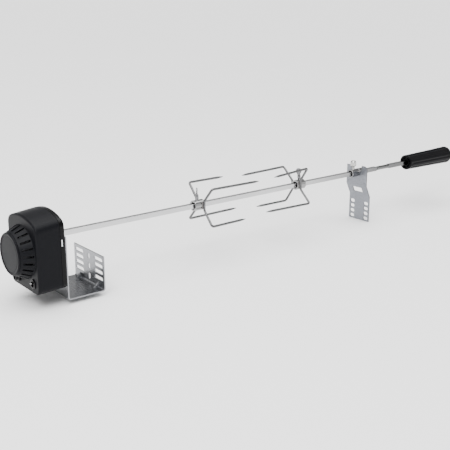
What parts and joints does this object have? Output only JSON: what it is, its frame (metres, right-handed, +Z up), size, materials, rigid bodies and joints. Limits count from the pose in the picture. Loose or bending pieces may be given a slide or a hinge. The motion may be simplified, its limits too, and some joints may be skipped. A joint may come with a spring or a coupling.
{
  "type": "grill rotisserie kit",
  "caption": "Geared motor on a channel bracket turning a square spit with adjustable four-prong forks, a bushing in a cradle bracket and a fluted handle.",
  "frame": {"origin": "centre of the motor bracket's slot pattern, on the face that bolts to the grill's wall", "axes": "+X along the spit from the motor to the handle and out of the bolting face, +Z up, +Y to the kit's rear"},
  "size_m": [1.0193, 0.093, 0.1402],
  "materials": {
    "bracket_steel": "satin stainless sheet",
    "black_plastic": "fine-textured black moulding",
    "cover_plastic": "smooth black moulding",
    "screw_steel": "zinc plated",
    "zinc_steel": "zinc plated sheet",
    "bobbin_plastic": "natural nylon",
    "copper_wire": "enamelled copper winding",
    "ferrite": "sintered ferrite",
    "bronze": "sintered bronze",
    "gear_plastic": "acetal",
    "gear_steel": "machined steel",
    "bright_metal": "polished",
    "knob_metal": "knurled nickel plate",
    "gland_rubber": "satin black rubber",
    "rod_steel": "bright plated",
    "hub_steel": "plated steel",
    "prong_steel": "drawn wire",
    "wing_steel": "plated steel",
    "grip_plastic": "black heat-resistant moulding"
  },
  "bodies": {
    "root": {"motor_bracket": "bracket_steel", "cradle_bracket": "bracket_steel", "motor_housing": "black_plastic", "drum_cap": "black_plastic", "rear_cover": "cover_plastic", "cover_screws": "screw_steel", "hanger_studs": "screw_steel", "front_gear_plate": "zinc_steel", "rear_gear_plate": "zinc_steel", "plate_pillars": "screw_steel", "stator_can": "zinc_steel", "coil_bobbin": "bobbin_plastic", "stator_coil": "copper_wire", "rotor_bushes": "bronze", "gear_pins": "screw_steel", "socket_bushes": "bronze", "switch_body": "cover_plastic", "switch_nut": "cover_plastic", "cord_gland": "gland_rubber"},
    "spit": {"spit_rod": "rod_steel", "drive_socket": "gear_steel", "output_gear": "gear_steel", "spit_bushing": "bright_metal", "handle_ferrule": "cover_plastic", "handle_grip": "grip_plastic", "handle_cap": "grip_plastic"},
    "second_gear": {"second_gear": "gear_plastic"},
    "first_gear": {"first_gear": "gear_plastic"},
    "rotor": {"rotor_magnet": "ferrite", "rotor_shaft": "screw_steel"},
    "switch_lever": {"switch_lever": "bright_metal"},
    "fork_1": {"fork_1_hub": "hub_steel", "fork_1_near_prongs": "prong_steel", "fork_1_far_prongs": "prong_steel"},
    "fork_1_screw": {"fork_1_screw": "wing_steel"},
    "fork_2": {"fork_2_hub": "hub_steel", "fork_2_near_prongs": "prong_steel", "fork_2_far_prongs": "prong_steel"},
    "fork_2_screw": {"fork_2_screw": "wing_steel"},
    "bushing_screw": {"bushing_screw": "knob_metal"}
  },
  "joints": [
    {"name": "spit_turn", "type": "hinge", "parent": "root", "child": "spit", "pos_m": [-0.063, 0, 0.058], "axis": [1, 0, 0], "continuous": true},
    {"name": "second_gear_turn", "type": "hinge", "parent": "root", "child": "second_gear", "pos_m": [-0.083, -0.02037, 0.03764], "axis": [1, 0, 0], "continuous": true},
    {"name": "first_gear_turn", "type": "hinge", "parent": "root", "child": "first_gear", "pos_m": [-0.091, -0.00268, 0.02872], "axis": [1, 0, 0], "continuous": true},
    {"name": "rotor_turn", "type": "hinge", "parent": "root", "child": "rotor", "pos_m": [-0.108, 0, 0.045], "axis": [1, 0, 0], "continuous": true},
    {"name": "switch_flip", "type": "hinge", "parent": "root", "child": "switch_lever", "pos_m": [-0.107, -0.028, -0.0005], "axis": [0, -1, 0], "range_deg": [0, 40]},
    {"name": "fork_1_slide", "type": "slide", "parent": "spit", "child": "fork_1", "axis": [1, 0, 0], "range_m": [-0.2, 0.02]},
    {"name": "fork_2_slide", "type": "slide", "parent": "spit", "child": "fork_2", "axis": [1, 0, 0], "range_m": [-0.01, 0.12]},
    {"name": "fork_1_screw_turn", "type": "hinge", "parent": "fork_1", "child": "fork_1_screw", "pos_m": [0.207, 0, 0.073], "axis": [0, 0, 1], "range_deg": [0, 360]},
    {"name": "fork_2_screw_turn", "type": "hinge", "parent": "fork_2", "child": "fork_2_screw", "pos_m": [0.4425, 0, 0.058], "axis": [0, 0.1219, 0.9925], "range_deg": [0, 360]},
    {"name": "bushing_screw_turn", "type": "hinge", "parent": "spit", "child": "bushing_screw", "pos_m": [0.5855, 0, 0.073], "axis": [0, 0, 1], "range_deg": [0, 360]}
  ],
  "couplings": [
    {"joint": "second_gear_turn", "follows": "spit_turn", "ratio": -5},
    {"joint": "first_gear_turn", "follows": "spit_turn", "ratio": 22.5},
    {"joint": "rotor_turn", "follows": "spit_turn", "ratio": -101.25}
  ]
}
